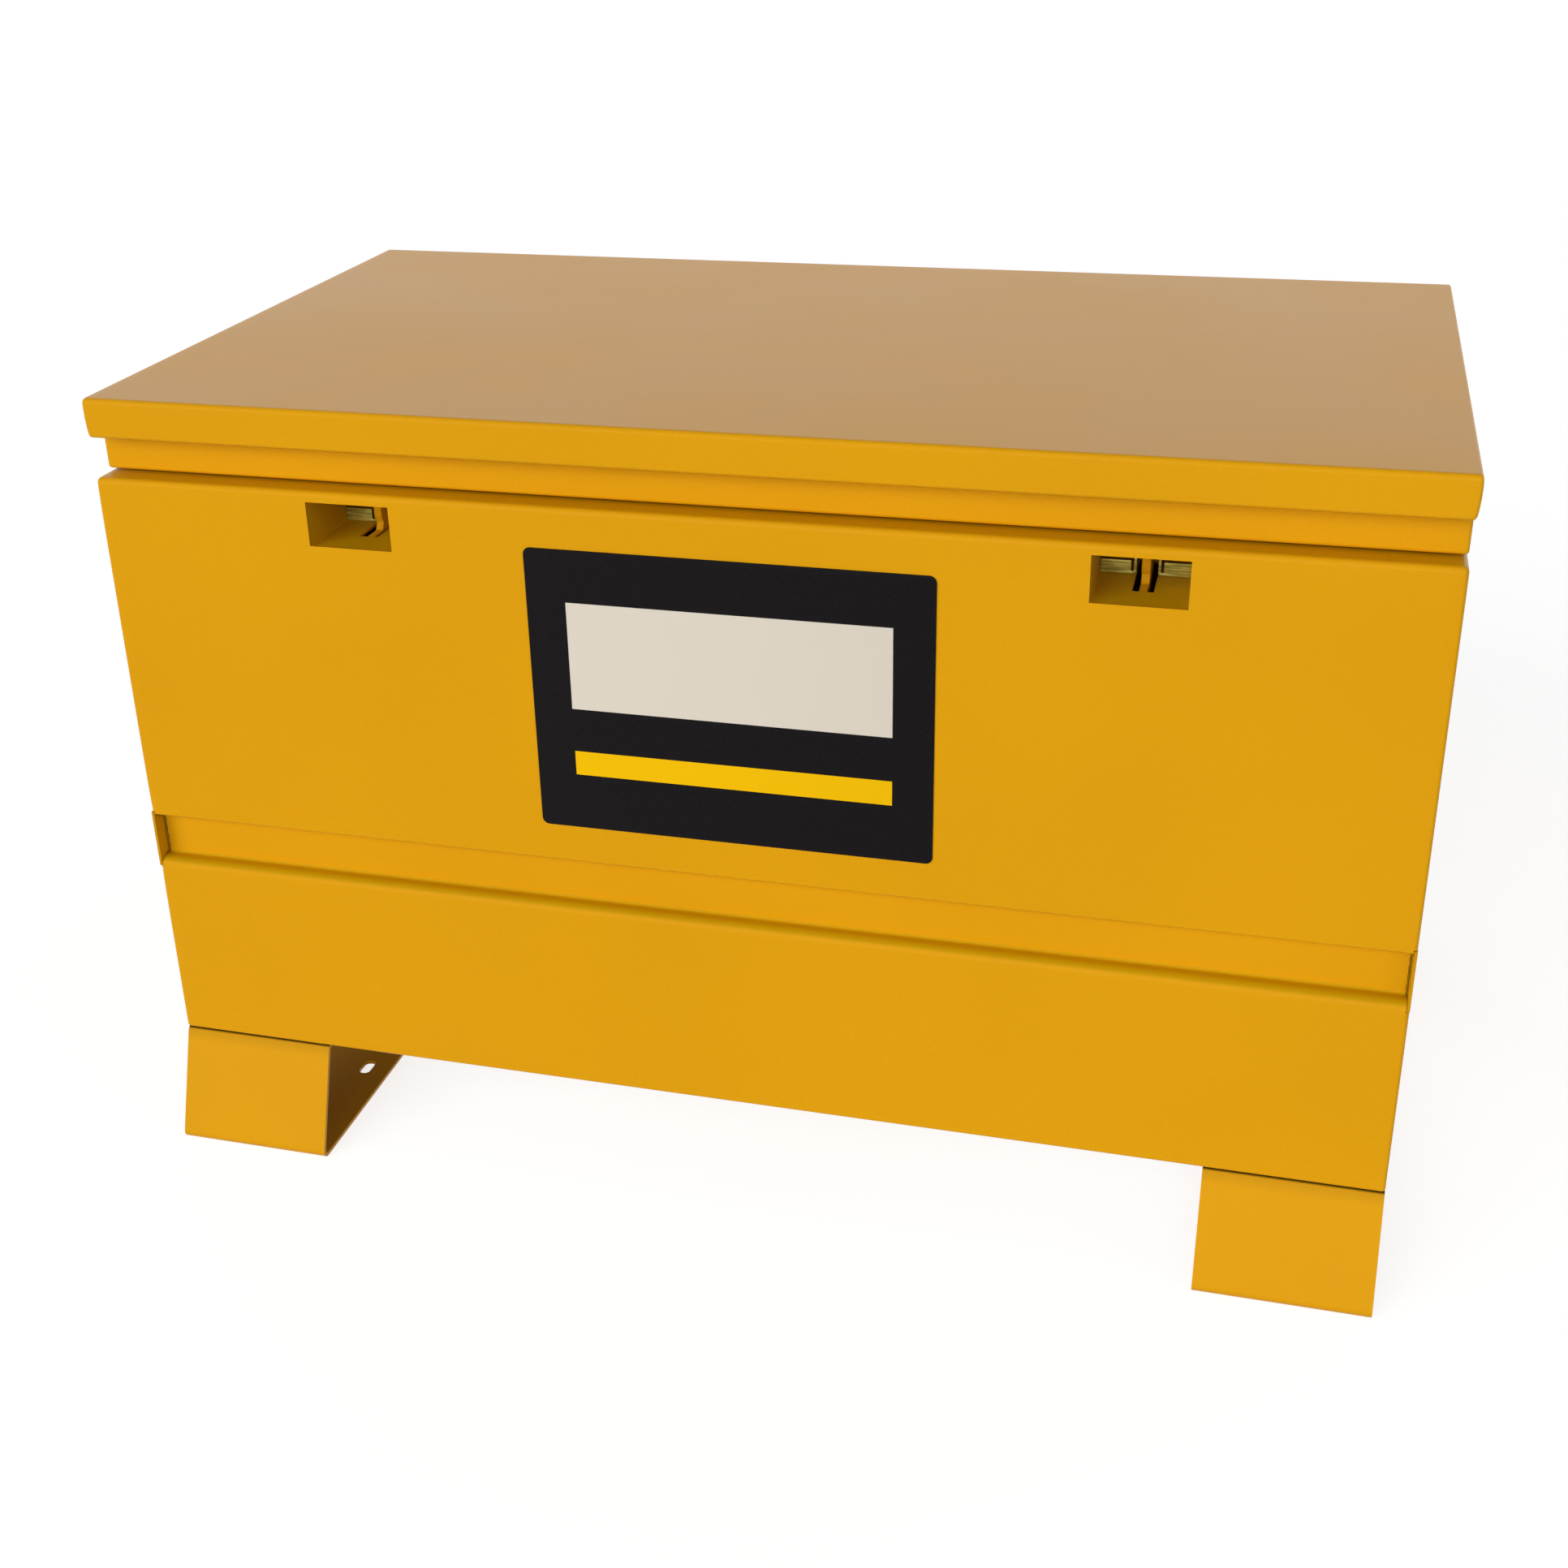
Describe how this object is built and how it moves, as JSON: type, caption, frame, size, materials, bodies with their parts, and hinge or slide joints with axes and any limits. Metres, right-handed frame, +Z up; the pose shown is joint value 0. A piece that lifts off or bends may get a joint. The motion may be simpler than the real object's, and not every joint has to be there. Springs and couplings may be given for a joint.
{
  "type": "jobsite storage box",
  "caption": "Sheet-steel jobsite storage box on two skids, with a hinged lid, recessed padlock pockets, gas struts and drop handles on its ends.",
  "frame": {"origin": "on the ground, under the middle of the box (bottom centre of its bounding box)", "axes": "+X to the right seen from the front, +Y to the back (hinge side), +Z up"},
  "size_m": [0.947, 0.5656, 0.5985],
  "materials": {
    "body_paint": "satin yellow powder coat",
    "zinc_plate": "yellow zinc plating",
    "polished_rod": "ground and polished",
    "strut_black": "satin black",
    "label_film": "satin vinyl film"
  },
  "bodies": {
    "box": {"front_panel": "body_paint", "back_panel": "body_paint", "floor_panel": "body_paint", "left_end_panel": "body_paint", "right_end_panel": "body_paint", "left_skid": "body_paint", "right_skid": "body_paint", "left_lock_pocket": "body_paint", "right_lock_pocket": "body_paint", "left_lock_keeper_inner": "zinc_plate", "left_lock_keeper_outer": "zinc_plate", "right_lock_keeper_inner": "zinc_plate", "right_lock_keeper_outer": "zinc_plate", "front_label": "label_film", "hinge_body_leaf": "body_paint", "hinge_pin": "polished_rod", "left_strut_body_bracket": "zinc_plate", "right_strut_body_bracket": "zinc_plate", "left_handle_plate": "body_paint", "right_handle_plate": "body_paint", "left_handle_bolt_1": "zinc_plate", "left_handle_bolt_2": "zinc_plate", "left_handle_bolt_3": "zinc_plate", "left_handle_bolt_4": "zinc_plate", "right_handle_bolt_1": "zinc_plate", "right_handle_bolt_2": "zinc_plate", "right_handle_bolt_3": "zinc_plate", "right_handle_bolt_4": "zinc_plate"},
    "lid": {"lid_skin": "body_paint", "left_lid_end": "body_paint", "right_lid_end": "body_paint", "lid_rib": "body_paint", "hinge_lid_leaf": "body_paint", "left_lock_tongue": "body_paint", "right_lock_tongue": "body_paint", "left_strut_lid_bracket": "zinc_plate", "right_strut_lid_bracket": "zinc_plate"},
    "left_strut_cylinder": {"left_strut_cylinder": "strut_black"},
    "left_strut_rod": {"left_strut_rod": "polished_rod"},
    "right_strut_cylinder": {"right_strut_cylinder": "strut_black"},
    "right_strut_rod": {"right_strut_rod": "polished_rod"},
    "left_handle": {"left_handle_bail": "body_paint"},
    "right_handle": {"right_handle_bail": "body_paint"}
  },
  "joints": [
    {"name": "lid_hinge", "type": "hinge", "parent": "box", "child": "lid", "pos_m": [0, 0.2596, 0.5427], "axis": [-1, 0, 0], "range_deg": [0, 95]},
    {"name": "left_strut_swing", "type": "hinge", "parent": "box", "child": "left_strut_cylinder", "pos_m": [-0.41925, 0.2093, 0.512], "axis": [-1, 0, 0], "range_deg": [0, 92.68]},
    {"name": "left_strut_extend", "type": "slide", "parent": "left_strut_cylinder", "child": "left_strut_rod", "axis": [0, -0.9481, 0.3181], "range_m": [0, 0.0864]},
    {"name": "right_strut_swing", "type": "hinge", "parent": "box", "child": "right_strut_cylinder", "pos_m": [0.41925, 0.2093, 0.512], "axis": [-1, 0, 0], "range_deg": [0, 92.68]},
    {"name": "right_strut_extend", "type": "slide", "parent": "right_strut_cylinder", "child": "right_strut_rod", "axis": [0, -0.9481, 0.3181], "range_m": [0, 0.0864]},
    {"name": "left_handle_swing", "type": "hinge", "parent": "box", "child": "left_handle", "pos_m": [-0.4654, 0, 0.4383], "axis": [0, 1, 0], "range_deg": [0, 90]},
    {"name": "right_handle_swing", "type": "hinge", "parent": "box", "child": "right_handle", "pos_m": [0.4654, 0, 0.4383], "axis": [0, -1, 0], "range_deg": [0, 90]}
  ],
  "couplings": [
    {"joint": "left_strut_swing", "follows": "lid_hinge", "ratio": 0.97552},
    {"joint": "left_strut_extend", "follows": "lid_hinge", "m_per_rad": 0.052103},
    {"joint": "right_strut_swing", "follows": "lid_hinge", "ratio": 0.97552},
    {"joint": "right_strut_extend", "follows": "lid_hinge", "m_per_rad": 0.052103}
  ]
}
